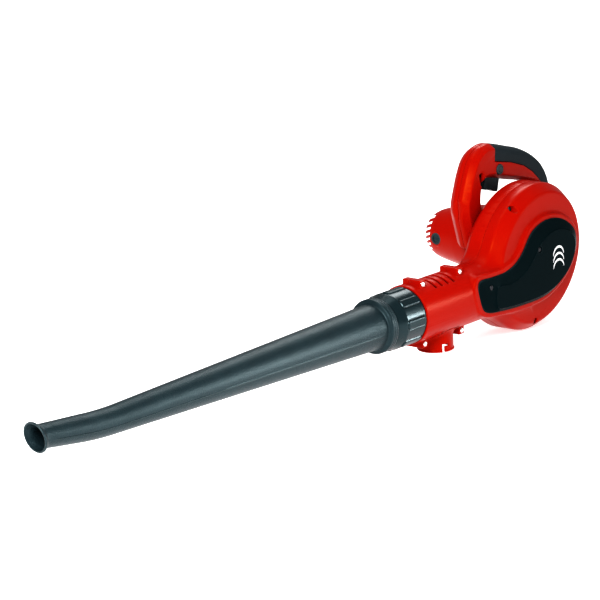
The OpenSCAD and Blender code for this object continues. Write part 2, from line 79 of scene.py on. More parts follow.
# Side cover: the platform that it lies on, its edge, the rise of its band, its face, its recesses
PLATFORM_Y, COVER_EDGE_Y, COVER_RISE, COVER_FACE_Y, COVER_SCREW_Y = -41.0, -43.0, 2.9, -46.5, -44.4
# Four vent slots across the duct's crown
VENT_FIRST_X, VENT_PITCH, VENT_HALF = -25.75, 14.0, 2.25
# Accessory port under the duct
PORT_R, PORT_BORE, PORT_SLOT = 26.0, 23.0, math.radians(-115)
# Motor drum: brush holders, and the slots in its end
BRUSH_Y, BRUSH_BOSS_R, BRUSH_CAP_R = 136.0, 11.0, 9.3
LOUVRE_PITCH, LOUVRE_HALF, LOUVRE_SIDE, LOUVRE_SLOPE = 8.2, 1.8, 3, 0.377
# Handle: middle plane, half width, width of its chamfers, and the neck that it leaves clear
HANDLE_Y, HANDLE_HALF, CHAMFER_WIDTH, NECK_R = 54.0, 18.0, 11.0, 55.0
GRIP_DEPTH, HANDLE_WALL = 3.0, 6.4
TRIGGER_AT = (210.0, 54.0, 211.0)
GRIP_TILT = math.radians(15)
LOCK_X, LOCK_Z = 218.0, 224.0
STRAP_X, STRAP_Z, STRAP_TURN = 173.0, 216.0, math.radians(-12)
INLET_X, INLET_Z, INLET_TURN = 346.0, 112.0, math.radians(150)
# Tube: straight run, bend and tip, then its radii
RING_X1, BEND_X, BEND_R, BEND_ANGLE, TIP_L = -131.0, -640.0, 500.0, math.radians(6.5), 66.0
STRAIGHT_L, BEND_L = RING_X1 - BEND_X, BEND_R * BEND_ANGLE
WHOLE_L = STRAIGHT_L + BEND_L + TIP_L
TUBE_ROOT_R, TUBE_TIP_R, FLARE, TUBE_WALL = 33.0, 15.4, 4.2, 2.4
# The flared mouth is cut so that its top reaches further forward than its bottom
MOUTH_TILT, MOUTH_RUN = 0.25, 30.0
MOUTH_START = WHOLE_L - MOUTH_RUN
PARTING_TURN = math.radians(10)
# Collar: plain radius, then the raised pads of its grip
COLLAR_BASE = 41.4
PAD_COUNT, PAD_MID, PAD_HALF, PAD_SIDE, PAD_ROUND, PAD_RISE = 8, -92.0, 16.0, 2.4, 3.4, 1.6

COVER_POINTS = [(240, 152), (212, 150), (186, 139), (166, 117), (146, 102), (118, 94), (88, 93),
                (60, 94), (52, 87), (52, 72), (60, 52), (76, 41), (118, 36), (160, 34), (198, 34),
                (230, 38), (260, 50), (284, 67), (300, 88), (304, 110), (296, 128), (270, 145)]
COVER_FACE_POINTS = [(94, 75), (128, 75), (160, 82), (184, 99), (206, 120), (230, 131), (258, 132),
                     (284, 123), (296, 108), (294, 88), (280, 68), (256, 52), (228, 43), (196, 39),
                     (158, 39), (118, 41), (93, 46)]
HANDLE_OUTER = [(148, 113), (135, 158), (132, 179), (138, 200), (143, 213), (149, 227), (158, 243),
                (167, 253), (178, 260), (190, 264), (206, 265), (230, 260), (256, 253), (282, 246),
                (306, 236), (327, 223), (341, 209), (351, 193), (357, 174), (360, 154), (357, 134),
                (345, 116), (322, 106), (290, 100), (262, 88)]
HANDLE_INNER = [(262, 146), (290, 142), (316, 144), (330, 154), (332, 168), (322, 181), (302, 189),
                (276, 196), (248, 202), (216, 210), (196, 213), (184, 210), (177, 198), (175, 180),
                (178, 164), (190, 152)]
GRIP_ZONE = [(378, 150), (344, 166), (328, 185), (304, 206), (282, 219), (248, 230), (207, 238),
             (208, 250), (209, 300), (300, 300), (420, 240), (420, 150)]
DRUM = [(56, 54), (60, 53.5), (80, 51), (100, 48.5), (122, 44.5), (132, 42.5), (146, 39.5),
        (153, 37), (160, 33.5), (166, 29), (171, 23.5), (174, 18), (176, 10)]
# Rim screws: angle about the scroll's centre, distance inside the rim, floor of the recess
RIM_SCREWS = ((123.5, 5.5, -17.0), (20.0, 8.2, -23.0), (-101.0, 15.0, -29.0))
DUCT_BOSS_X = (-50.0, 37.0)
COVER_SCREWS = ((203, 111), (80, 79))
HANDLE_SCREWS = ((156, 196), (188, 244), (288, 204), (348, 148))

# ---------------------------------------------------------------- fields


def smooth_curve(points, steps, closed=False):
    """Points on a smooth curve through a short list of points."""
    n = len(points)
    p = [np.array(q, float) for q in points]
    out = []
    for i in range(n if closed else n - 1):
        if closed:
            a, b, c, d = p[i - 1], p[i], p[(i + 1) % n], p[(i + 2) % n]
        else:
            a, b, c, d = p[max(i - 1, 0)], p[i], p[i + 1], p[min(i + 2, n - 1)]
        for k in range(steps):
            t = k / steps
            out.append(0.5 * (2 * b + (c - a) * t + (2 * a - 5 * b + 4 * c - d) * t * t
                              + (3 * b - a - 3 * c + d) * t ** 3))
    if not closed:
        out.append(p[-1])
    return np.array(out)


def outline_distance(u, v, loop):
    """Signed distance in a plane to a closed outline: negative inside."""
    u, v = np.broadcast_arrays(u, v)
    best = np.full(u.shape, 1e9)
    inside = np.zeros(u.shape, bool)
    for (ax, ay), (bx, by) in zip(loop, np.roll(loop, -1, axis=0)):
        ex, ey = bx - ax, by - ay
        t = np.clip(((u - ax) * ex + (v - ay) * ey) / max(ex * ex + ey * ey, 1e-9), 0, 1)
        best = np.minimum(best, (u - ax - t * ex) ** 2 + (v - ay - t * ey) ** 2)
        if ay != by:
            inside ^= ((ay > v) != (by > v)) & (u < ex * (v - ay) / (by - ay) + ax)
    return np.where(inside, -1.0, 1.0) * np.sqrt(best)


def blend_min(a, b, k):
    """Union of two fields with a fillet of about k."""
    h = np.clip(0.5 + 0.5 * (b - a) / k, 0, 1)
    return b * (1 - h) + a * h - k * h * (1 - h)


def blend_max(a, b, k):
    """Intersection of two fields with an edge rounded by about k."""
    return -blend_min(-a, -b, k)


def cut(a, b, k):
    """Field a with field b taken out, its edge rounded by about k."""
    return blend_max(a, -b, k)


def slab(value, low, high):
    """Field of the layer between two values."""
    return np.maximum(low - value, value - high)


def block(x, y, z, centre, half, k):
    """Field of a box with edges rounded by about k."""
    d = [np.abs(v - c) - h for v, c, h in zip((x, y, z), centre, half)]
    return blend_max(blend_max(d[0], d[1], k), d[2], k)


def surface(field, low, high, step):
    """Closed mesh of field = 0 in a box: one point per crossed cell, moved onto the surface."""
    axes = [np.arange(lo - step, hi + 2 * step, step) for lo, hi in zip(low, high)]
    grid = np.broadcast_to(field(axes[0][:, None, None], axes[1][None, :, None],
                                 axes[2][None, None, :]),
                           [len(a) for a in axes]).astype(np.float32)
    for axis in range(3):
        edge = [slice(None)] * 3
        for end in (0, -1):
            edge[axis] = end
            grid[tuple(edge)] = np.maximum(grid[tuple(edge)], 0.5 * step)
    inside = grid < 0
    corners = [(i, j, k) for i in (0, 1) for j in (0, 1) for k in (0, 1)]
    n = [s - 1 for s in grid.shape]
    count = sum(inside[i:n[0] + i, j:n[1] + j, k:n[2] + k].astype(np.int8) for i, j, k in corners)
    cells = np.argwhere((count > 0) & (count < 8))
    number = np.full(n, -1, np.int64)
    number[tuple(cells.T)] = np.arange(len(cells))
    total = np.zeros((len(cells), 3))
    hits = np.zeros(len(cells))
    for a in corners:
        for axis in range(3):
            if a[axis]:
                continue
            b = list(a)
            b[axis] = 1
            fa = grid[tuple((cells + a).T)]
            fb = grid[tuple((cells + b).T)]
            crossed = (fa < 0) != (fb < 0)
            t = np.where(crossed, fa / np.where(crossed, fa - fb, 1), 0)
            total += np.where(crossed[:, None], np.array(a) + t[:, None] * (np.array(b) - a), 0)
            hits += crossed
    points = (cells + total / hits[:, None]) * step + [a[0] for a in axes]
    e = 0.05
    for _ in range(2):
        x, y, z = points.T
        value = field(x, y, z)
        slope = np.stack([field(x + e, y, z) - value, field(x, y + e, z) - value,
                          field(x, y, z + e) - value], 1) / e
        size = np.maximum((slope ** 2).sum(1), 0.2)
        move = -value[:, None] * slope / size[:, None]
        length = np.linalg.norm(move, axis=1, keepdims=True)
        points = points + move * np.minimum(1, 0.45 * step / np.maximum(length, 1e-9))
    quads = []
    for axis in range(3):
        u, v = (axis + 1) % 3, (axis + 2) % 3
        here = [slice(1, -1)] * 3
        here[axis] = slice(0, -1)
        there = list(here)
        there[axis] = slice(1, None)
        a, b = inside[tuple(here)], inside[tuple(there)]
        at = np.argwhere(a != b)
        out = a[tuple(at.T)]
        offset = np.ones(3, int)
        offset[axis] = 0
        at = at + offset
        ring = []
        for du, dv in ((0, 0), (-1, 0), (-1, -1), (0, -1)):
            c = at.copy()
            c[:, u] += du
            c[:, v] += dv
            ring.append(number[tuple(c.T)])
        ring = np.stack(ring, 1)
        quads.append(np.where(out[:, None], ring, ring[:, ::-1]))
    return points, np.concatenate(quads)


# ---------------------------------------------------------------- mesh helpers


def shade(mesh, crease):
    """Smooth shading, with edges sharper than crease degrees kept sharp."""
    mesh.shade_smooth()
    mesh.set_sharp_from_angle(angle=math.radians(crease))


def new_piece(name, points, faces, mat, body, replaces=(), crease=40):
    """Makes a mesh object from points in millimetres and hangs it on its body."""
    mesh = bpy.data.meshes.new(name)
    mesh.from_pydata((np.asarray(points) * MM).tolist(), [], faces)
    mesh.validate()
    obj = bpy.data.objects.new(name, mesh)
    bpy.context.scene.collection.objects.link(obj)
    shade(mesh, crease)
    mesh.materials.append(mat)
    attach(obj, body)
    if replaces:
        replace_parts(obj, *replaces)
    return obj


def apply_modifiers(obj):
    """Puts the modified mesh in the place of the mesh."""
    graph = bpy.context.evaluated_depsgraph_get()
    mesh = bpy.data.meshes.new_from_object(obj.evaluated_get(graph))
    obj.modifiers.clear()
    obj.data = mesh


def moulded(name, field, low, high, step, mat, body, replaces, keep, crease=40):
    """Moulded piece from a field, with a share keep of its faces left where they matter most."""
    points, quads = surface(field, low, high, step)
    obj = new_piece(name, points, quads.tolist(), mat, body, replaces, crease)
    thin = obj.modifiers.new("thin", "DECIMATE")
    thin.ratio = keep
    apply_modifiers(obj)
    shade(obj.data, crease)


# ---------------------------------------------------------------- materials

# Sockets of a Mix node that mixes colours
MIX_FACTOR, MIX_A, MIX_B, MIX_RESULT = 0, 6, 7, 2
ROUGH_SPREAD = 0.06


def noise(mat, place, scale, detail):
    """Noise texture in the space of the object."""
    node = mat.node_tree.nodes.new("ShaderNodeTexNoise")
    node.inputs["Scale"].default_value = scale
    node.inputs["Detail"].default_value = detail
    mat.node_tree.links.new(place.outputs["Object"], node.inputs["Vector"])
    return node


def material(name, colour, roughness, metallic=0.0, coat=0.0, grain=1200.0, grain_depth=0.0,
             mottle=0.06, edge_wear_and_highlight=0.0, specular=0.5, blotch=18.0, sheen=(1.0, 1.0, 1.0), ior=1.5):
    """Principled material with colour mottle, roughness variation, fine bump, and lighter edges: rubbed edges
    and painted highlight.
    """
    mat = bpy.data.materials.new(name)
    mat.use_nodes = True
    nodes, links = mat.node_tree.nodes, mat.node_tree.links
    shader = nodes["Principled BSDF"]
    shader.inputs["Metallic"].default_value = metallic
    shader.inputs["Coat Weight"].default_value = coat
    shader.inputs["Coat Roughness"].default_value = 0.12
    shader.inputs["Specular IOR Level"].default_value = specular
    shader.inputs["IOR"].default_value = ior
    shader.inputs["Specular Tint"].default_value = (*sheen, 1)
    place = nodes.new("ShaderNodeTexCoord")
    broad = noise(mat, place, blotch, 5.0)
    tint = nodes.new("ShaderNodeMix")
    tint.data_type = "RGBA"
    tint.inputs[MIX_A].default_value = (*[c * (1 - mottle) for c in colour], 1)
    tint.inputs[MIX_B].default_value = (*[min(1, c * (1 + mottle)) for c in colour], 1)
    links.new(broad.outputs["Fac"], tint.inputs[MIX_FACTOR])
    last = tint.outputs[MIX_RESULT]
    # Edges lightened by pointiness; where strong, as on the cover, this is a painted highlight.
    if edge_wear_and_highlight:
        edges = nodes.new("ShaderNodeNewGeometry")
        ramp = nodes.new("ShaderNodeMapRange")
        ramp.inputs["From Min"].default_value = 0.52
        ramp.inputs["From Max"].default_value = 0.62
        ramp.inputs["To Max"].default_value = edge_wear_and_highlight
        links.new(edges.outputs["Pointiness"], ramp.inputs["Value"])
        lit_and_rubbed_edge = nodes.new("ShaderNodeMix")
        lit_and_rubbed_edge.data_type = "RGBA"
        lit_and_rubbed_edge.inputs[MIX_B].default_value = (*[min(1, c * 1.3 + 0.06) for c in colour], 1)
        links.new(ramp.outputs["Result"], lit_and_rubbed_edge.inputs[MIX_FACTOR])
        links.new(last, lit_and_rubbed_edge.inputs[MIX_A])
        last = lit_and_rubbed_edge.outputs[MIX_RESULT]
    links.new(last, shader.inputs["Base Color"])
    smear = noise(mat, place, blotch * 4, 6.0)
    rough = nodes.new("ShaderNodeMapRange")
    rough.inputs["To Min"].default_value = max(0.02, roughness - ROUGH_SPREAD)
    rough.inputs["To Max"].default_value = min(1.0, roughness + ROUGH_SPREAD)
    links.new(smear.outputs["Fac"], rough.inputs["Value"])
    links.new(rough.outputs["Result"], shader.inputs["Roughness"])
    if grain_depth:
        fine = noise(mat, place, grain, 3.0)
        bump = nodes.new("ShaderNodeBump")
        bump.inputs["Strength"].default_value = 0.6
        bump.inputs["Distance"].default_value = grain_depth
        links.new(fine.outputs["Fac"], bump.inputs["Height"])
        links.new(bump.outputs["Normal"], shader.inputs["Normal"])
    return mat


RED = material("red_abs", (0.31, 0.0055, 0.0014), 0.31, grain=900, grain_depth=0.00006,
               edge_wear_and_highlight=0.08, sheen=(1.0, 0.3, 0.06), ior=1.22)
BLACK = material("black_textured", (0.011, 0.021, 0.025), 0.4, grain=520, grain_depth=0.0009,
                 mottle=0.3, edge_wear_and_highlight=0.25, blotch=40, specular=0.55, ior=1.36,
                 sheen=(0.7, 0.95, 1.0))
COLLAR_BLACK = material("black_satin", (0.008, 0.017, 0.02), 0.24, grain=1200,
                        grain_depth=0.00008, mottle=0.2, edge_wear_and_highlight=0.2, specular=0.6, ior=1.36,
                        sheen=(0.7, 0.95, 1.0))
# The cover's edges are lightened strongly: a painted highlight along its rims.
COVER_BLACK = material("black_cover", (0.0015, 0.007, 0.0085), 0.22, grain=1300,
                       grain_depth=0.00004, mottle=0.12, edge_wear_and_highlight=0.9, specular=0.07, ior=1.28,
                       sheen=(0.5, 0.95, 1.0))
RUBBER = material("soft_touch", (0.019, 0.026, 0.03), 0.6, grain=1800, grain_depth=0.0002,
                  mottle=0.15, specular=0.15, ior=1.36)
LOCK_GREY = material("lock_grey", (0.035, 0.05, 0.052), 0.5, grain=1800, grain_depth=0.0001,
                     specular=0.3, ior=1.36)
MARK = material("mark", (0.8, 0.81, 0.82), 0.45, grain=1500, grain_depth=0.00003, mottle=0.03)
ZINC = material("bright_zinc", (0.86, 0.86, 0.84), 0.24, metallic=1.0, grain=2500,
                grain_depth=0.00004, mottle=0.05)
BLACK_OXIDE = material("black_oxide", (0.05, 0.05, 0.055), 0.35, metallic=0.9, grain=2500,
                       grain_depth=0.00004)
STEEL = material("ground_steel", (0.6, 0.61, 0.63), 0.28, metallic=1.0, grain=1500,
                 grain_depth=0.00003)
LAMINATED = material("laminations", (0.2, 0.2, 0.21), 0.45, metallic=0.8, grain=1800,
                     grain_depth=0.0001)
COPPER = material("enamelled_copper", (0.55, 0.2, 0.08), 0.35, metallic=0.85, coat=0.3,
                  grain=1600, grain_depth=0.0002)
BRASS = material("brass", (0.65, 0.48, 0.2), 0.3, metallic=1.0, grain=1500, grain_depth=0.00004)
CARBON = material("carbon", (0.03, 0.03, 0.032), 0.55, grain=1800, grain_depth=0.00012)
ALLOY = material("cast_alloy", (0.16, 0.165, 0.175), 0.5, metallic=0.9, grain=900,
                 grain_depth=0.00025)
FILM = material("epoxy_film", (0.75, 0.58, 0.14), 0.25, coat=0.4, grain=600, grain_depth=0.00005)
LEAD = material("lead_insulation", (0.32, 0.03, 0.02), 0.42, grain=1400, grain_depth=0.00006)
FELT = material("felt", (0.17, 0.17, 0.16), 0.92, grain=2200, grain_depth=0.0004, mottle=0.3,
                specular=0.2)
SLOT_MATERIAL = {"red_plastic": RED, "black_plastic": BLACK, "cover_plastic": COVER_BLACK,
                 "mark_white": MARK, "soft_rubber": RUBBER, "screw_steel": ZINC,
                 "dark_screw": BLACK_OXIDE, "steel": STEEL, "laminations": LAMINATED,
                 "copper": COPPER, "brass": BRASS, "carbon": CARBON, "alloy": ALLOY,
                 "film": FILM, "lead_red": LEAD, "felt": FELT}

# CAD nodes whose shape is right keep it and get a finished material
for part in frame["record"]["subparts"]:
    node = frame["nodes"][part["node"]]
    for holder in node.material_slots:
        holder.material = SLOT_MATERIAL[part["material_slot"]]

# ---------------------------------------------------------------- fan housing

COVER_LOOP = smooth_curve(COVER_POINTS, 5, closed=True)


def scroll_field(x, y, z, inset=0.0):
    """Round scroll with a bevel on each side."""
    dx, dz = x - SCROLL_X, z - SCROLL_Z
    bearing = np.arctan2(dz, dx)
    rim = np.hypot(dx, dz) - (SCROLL_R + SCROLL_SWELL * np.cos(2 * (bearing - SCROLL_TILT))) + inset
    depth = RIM_NEAR - FACE_NEAR
    near = (depth * rim - BEVEL_NEAR * (y - RIM_NEAR)) / math.hypot(depth, BEVEL_NEAR)
    run = FACE_FAR - RIM_FAR
    away = (run * rim + BEVEL_FAR * (y - RIM_FAR)) / math.hypot(run, BEVEL_FAR)
    edge = blend_max(blend_max(rim, near, 2.0), away, 2.0)
    return blend_max(edge, slab(y, FACE_NEAR + inset, FACE_FAR - inset), 3.0)


def duct_field(y, z, inset=0.0):
    """Round outlet duct, without ends."""
    return np.hypot(y, z - DUCT_Z) - DUCT_R + inset


def side_planes(x, y, inset=0.0):
    """Far plane, sloped from the duct down to the scroll's far face, and the duct's near plane."""
    return np.maximum(y - FACE_FAR - 0.15 * np.maximum(120 - x, 0), -y - DUCT_R) + inset


def housing_field(x, y, z):
    """Outer skin of both shells together."""
    duct = blend_max(duct_field(y, z), slab(x, DUCT_FRONT, DUCT_BACK), 1.6)
    skin = blend_min(scroll_field(x, y, z), duct, 24.0)
    skin = blend_max(skin, -y - DUCT_R, 6.0)
    skin = blend_max(skin, side_planes(x, y), 2.0)
    platform = blend_max(outline_distance(x, z, COVER_LOOP) - 7.0, slab(y, PLATFORM_Y, 0), 3.0)
    skin = blend_min(skin, platform, 5.0)
    middle, half = (DUCT_BOSS_NEAR + DUCT_BOSS_FAR) / 2, (DUCT_BOSS_FAR - DUCT_BOSS_NEAR) / 2
    for bx in DUCT_BOSS_X:
        for side in (-1, 1):
            boss = block(x, y, z, (bx, middle, DUCT_Z + side * DUCT_BOSS_RISE),
                         (DUCT_BOSS_HALF, half, DUCT_BOSS_HALF), 1.0)
            skin = blend_min(skin, boss, 1.2)
    return skin


def housing_hollow(x, y, z):
    """Air space inside both shells."""
    body = scroll_field(x, y, z, WALL)
    whole = blend_min(body, np.maximum(duct_field(y, z, WALL), x - (DUCT_BACK - 10)), 20.0)
    return blend_max(whole, side_planes(x, y, WALL), 4.0)


def rim_screw_place(angle, inset):
    """Where a rim screw stands, in x and z."""
    a = math.radians(angle)
    r = SCROLL_R + SCROLL_SWELL * math.cos(2 * (a - SCROLL_TILT)) - inset
    return SCROLL_X + r * math.cos(a), SCROLL_Z + r * math.sin(a)


def duct_vents(x, y, z):
    """Four slots running from the duct's near side up over its crown."""
    reach = slab(np.arctan2(y, z - DUCT_Z), math.radians(-37), math.radians(12)) * DUCT_R
    half_pitch = 0.5 * VENT_PITCH
    slot_x = np.abs((x - VENT_FIRST_X + half_pitch) % VENT_PITCH - half_pitch) - VENT_HALF
    group = slab(x, -29.0, 19.0)
    return np.maximum(np.maximum(blend_max(slot_x, reach, 2.0), group), 25 - (z - DUCT_Z))


def shell_field(x, y, z):
    """Both shells with their screw posts, screw holes and vents."""
    skin = cut(housing_field(x, y, z), housing_hollow(x, y, z), 0.6)
    for angle, inset, bottom in RIM_SCREWS:
        cx, cz = rim_screw_place(angle, inset)
        column = np.hypot(x - cx, z - cz)
        post = np.maximum(column - 7.5, slab(y, FACE_NEAR + 2, FACE_FAR - 2))
        post = np.maximum(post, scroll_field(x, y, z, 0.5))
        skin = np.minimum(skin, post)
        skin = cut(skin, np.maximum(column - RECESS_R, y - bottom), 0.7)
    for bx in DUCT_BOSS_X:
        for side in (-1, 1):
            hole = np.hypot(x - bx, z - DUCT_Z - side * DUCT_BOSS_RISE) - 2.1
            skin = np.maximum(skin, -np.maximum(hole, y - 14.5))
    return cut(skin, duct_vents(x, y, z), 1.0)


def near_field(x, y, z):
    """Near shell, with the side cover's platform."""
    return blend_max(shell_field(x, y, z), y + SEAM, 0.8)


def far_field(x, y, z):
    """Far shell, open to the motor."""
    skin = blend_max(shell_field(x, y, z), SEAM - y, 0.8)
    inlet = np.maximum(np.hypot(x - AXIS_X, z - AXIS_Z) - 50, 20 - y)
    return cut(skin, inlet, 1.5)


moulded("near_shell", near_field, (-71, -48, -20), (345, 1, 212), 1.35, RED, "housing",
        ("near_housing",), keep=0.3)
moulded("far_shell", far_field, (-71, -1, -20), (345, 45, 212), 1.35, RED, "housing",
        ("far_housing",), keep=0.3)


def port_field(x, y, z):
    """Accessory port: a collar under the duct with two bayonet slots open at the rim."""
    top = 40
    r = np.hypot(x, y)
    duct = np.hypot(y, z - DUCT_Z)
    bead = 1.2 * np.exp(-((z - 1.0) / 1.6) ** 4)
    wall = blend_max(r - PORT_R - bead, slab(z, 0, top), 1.0)
    wall = blend_min(wall, -(DUCT_R + 0.2 - duct), 7.0)
    wall = np.maximum(wall, r - 35)
    wall = np.maximum(wall, DUCT_R + 0.05 - duct)
    wall = np.maximum(wall, z - top)
    solid = cut(wall, np.maximum(r - PORT_BORE, z - 17.6), 0.8)
    for side in (0, math.pi):
        turn_to = (np.arctan2(y, x) - PORT_SLOT - side + math.pi) % (2 * math.pi) - math.pi
        arc = turn_to * 25
        leg = np.maximum(np.abs(arc) - 2.2, z - 12)
        foot = np.maximum(slab(arc, -2.2, 9.0), slab(z, 8.4, 12))
        solid = cut(solid, np.maximum(np.minimum(leg, foot), 18 - r), 0.4)
    return solid


moulded("port_skin", port_field, (-36, -36, -0.5), (36, 36, 32), 0.9, RED, "housing",
        ("accessory_port",), keep=0.4)

# ---------------------------------------------------------------- side cover

COVER_FACE_LOOP = smooth_curve(COVER_FACE_POINTS, 4, closed=True)


def cover_field(x, y, z):
    """Raised face in front of a band that slopes from it down to the cover's edge."""
    edge = outline_distance(x, z, COVER_LOOP)
    face = outline_distance(x, z, COVER_FACE_LOOP)
    rise = np.clip(-edge / np.maximum(np.maximum(face, 0) - edge, 0.01), 0, 1)
    band = blend_max(edge, 0.95 * (COVER_EDGE_Y - COVER_RISE * rise - y), 1.2)
    plateau = blend_max(face, COVER_FACE_Y - y, 0.5)
    body = blend_max(blend_min(band, np.maximum(plateau, edge + 1), 0.4), y - PLATFORM_Y, 0.3)
    for cx, cz in COVER_SCREWS:
        body = cut(body, np.maximum(np.hypot(x - cx, z - cz) - RECESS_R, y - COVER_SCREW_Y), 0.6)
    return body


moulded("cover_shell", cover_field, (50, -48, 32), (306, -40.5, 154), 0.95, COVER_BLACK, "housing",
        ("side_cover",), keep=0.3, crease=30)

# ---------------------------------------------------------------- motor drum

DRUM_LOOP = np.array([(0, 56)] + [(r, y) for y, r in DRUM] + [(0, 176)], float)


def drum_skin(radius, y):
    """Distance to the drum's profile. On the grid it is read from a table of radii, to save time."""
    if radius.ndim == 1:
        return outline_distance(radius, y, DRUM_LOOP)
    step = 0.5
    r = np.arange(0, 80, step)
    stations = y.ravel()
    table = outline_distance(r[:, None], stations[None, :], DRUM_LOOP)
    place = np.clip(radius / step, 0, len(r) - 1.001)
    low = np.floor(place).astype(int)
    part = place - low
    index = np.arange(len(stations))[None, :, None]
    return table[low, index] * (1 - part) + table[low + 1, index] * part


def drum_field(x, y, z):
    """Drum with a bearing seat on a web, two brush bosses and a slotted end."""
    radius = np.hypot(x - AXIS_X, z - AXIS_Z)
    skin = drum_skin(radius, y)
    hollow = np.maximum(skin + WALL, 60 - y)
    reach = np.abs(x - AXIS_X)
    pin = np.hypot(y - BRUSH_Y, z - AXIS_Z)
    boss = np.maximum(pin - BRUSH_BOSS_R, slab(reach, 29, 42.6))
    solid = blend_min(cut(skin, hollow, 0.5), boss, 2.0)
    seat = np.maximum(radius - 16, slab(y, 148, 158))
    web = np.maximum(skin + 1, slab(y, 156, 159))
    solid = np.minimum(np.minimum(solid, seat), web)
    solid = cut(solid, np.maximum(pin - BRUSH_CAP_R, 22 - reach), 0.6)
    bearing = np.maximum(radius - 13.1, slab(y, 140, 155))
    solid = np.maximum(solid, -bearing)
    fall = z - AXIS_Z + LOUVRE_SLOPE * (y - 168)
    nearest = np.clip(np.round(fall / LOUVRE_PITCH), -LOUVRE_SIDE, LOUVRE_SIDE) * LOUVRE_PITCH
    start = np.maximum(152 - y, np.minimum(16.5 - radius, 159.2 - y))
    slots = np.maximum(np.abs(fall - nearest) - LOUVRE_HALF, start)
    return cut(solid, slots, 0.9)


moulded("drum_shell", drum_field, (168, 55, 55), (282, 177, 169), 1.3, RED, "housing",
        ("motor_housing",), keep=0.35)

# ---------------------------------------------------------------- handle

HANDLE_LOOP = np.array(list(smooth_curve(HANDLE_OUTER, 4)) + list(smooth_curve(HANDLE_INNER, 4))
                       + [(172, 134), (170, 112)])
GRIP_LOOP = np.array(GRIP_ZONE, float)


def handle_band(x, y, z, run, edge_k, chamfer_k):
    """Handle's outline with its edges chamfered: run off the outline, CHAMFER_WIDTH off the width."""
    edge = outline_distance(x, z, HANDLE_LOOP)
    side = np.abs(y - HANDLE_Y) - HANDLE_HALF
    slope = math.hypot(1 / run, 1 / CHAMFER_WIDTH)
    chamfer = (edge / run + side / CHAMFER_WIDTH + 1) / slope
    return blend_max(blend_max(edge, side, edge_k), chamfer, chamfer_k)


def handle_skin(x, y, z):
    """Crisp outer skin of the two handle shells."""
    return handle_band(x, y, z, 7.0, 1.0, 1.3)


def grip_frame(x, y, z):
    """Coordinates along the grip, across it and square to it, from the trigger's origin."""
    dx, dz = x - TRIGGER_AT[0], z - TRIGGER_AT[2]
    c, s = math.cos(GRIP_TILT), math.sin(GRIP_TILT)
    return c * dx - s * dz, y - TRIGGER_AT[1], s * dx + c * dz


def handle_field(x, y, z):
    """Both handle shells, with their openings for grip, trigger, motor, button, strap and cord."""
    skin = handle_skin(x, y, z)
    zone = outline_distance(x, z, GRIP_LOOP)
    solid = cut(skin, np.maximum(zone - 0.25, -(skin + GRIP_DEPTH)), 0.5)
    solid = np.maximum(solid, -(skin + HANDLE_WALL))
    u, v, w = grip_frame(x, y, z)
    opening = np.maximum(np.maximum(slab(u, -15.5, 23.1), np.abs(v) - 7.4), slab(w, -14, 8))
    solid = cut(solid, opening, 0.6)
    clear = np.maximum(np.hypot(x - AXIS_X, z - AXIS_Z) - NECK_R - 0.2, slab(y, 20, 80))
    solid = cut(solid, clear, 0.6)
    lock = np.maximum(np.hypot(x - LOCK_X, z - LOCK_Z) - 8.2, y - 46)
    solid = cut(solid, lock, 0.6)
    dx, dz = x - STRAP_X, z - STRAP_Z
    c, s = math.cos(STRAP_TURN), math.sin(STRAP_TURN)
    strap = blend_max(np.abs(c * dx - s * dz) - 5.2, np.abs(s * dx + c * dz) - 10, 3.0)
    solid = cut(solid, np.maximum(strap, y - 51), 0.6)
    dx, dz = x - INLET_X, z - INLET_Z
    c, s = math.cos(INLET_TURN), math.sin(INLET_TURN)
    along = dx * s + dz * c
    off = np.sqrt((dx - along * s) ** 2 + (dz - along * c) ** 2 + (y - HANDLE_Y) ** 2)
    return cut(solid, np.maximum(off - 8.1, slab(along, -9, 31)), 0.6)


def handle_near_field(x, y, z):
    """Near half of the handle."""
    return blend_max(handle_field(x, y, z), y - HANDLE_Y + HANDLE_SEAM, 0.8)


def handle_far_field(x, y, z):
    """Far half of the handle, with recesses for its screws."""
    solid = blend_max(handle_field(x, y, z), HANDLE_Y + HANDLE_SEAM - y, 0.8)
    for cx, cz in HANDLE_SCREWS:
        solid = cut(solid, np.maximum(np.hypot(x - cx, z - cz) - 4.3, 68 - y), 0.6)
    return solid


def soft_grip_field(x, y, z):
    """Soft layer that fills the grip's zone, rounder than the shells."""
    skin = handle_band(x, y, z, 8.0, 2.0, 5.0)
    zone = outline_distance(x, z, GRIP_LOOP)
    return np.maximum(blend_max(skin, zone + 0.15, 1.5), -(handle_skin(x, y, z) + GRIP_DEPTH))


moulded("handle_near_shell", handle_near_field, (136, 35, 86), (373, 54.5, 266), 1.3, RED,
        "housing", ("handle_near",), keep=0.35, crease=35)
moulded("handle_far_shell", handle_far_field, (136, 53.5, 86), (373, 73, 266), 1.3, RED,
        "housing", ("handle_far",), keep=0.35, crease=35)
moulded("soft_grip_skin", soft_grip_field, (200, 35, 148), (373, 73, 266), 1.3, RUBBER,
        "housing", ("soft_grip",), keep=0.4)

# ---------------------------------------------------------------- tube and collar


def tube_at(s):
    """Centre and tilt of the tube at a distance s forward of its bead ring's rear edge."""
    a = min(max(s - STRAIGHT_L, 0), BEND_L) / BEND_R
    t = max(s - STRAIGHT_L - BEND_L, 0)
    x = RING_X1 - min(s, STRAIGHT_L) - BEND_R * math.sin(a) - t * math.cos(a)
    return x, DUCT_Z + BEND_R * (1 - math.cos(a)) + t * math.sin(a), a


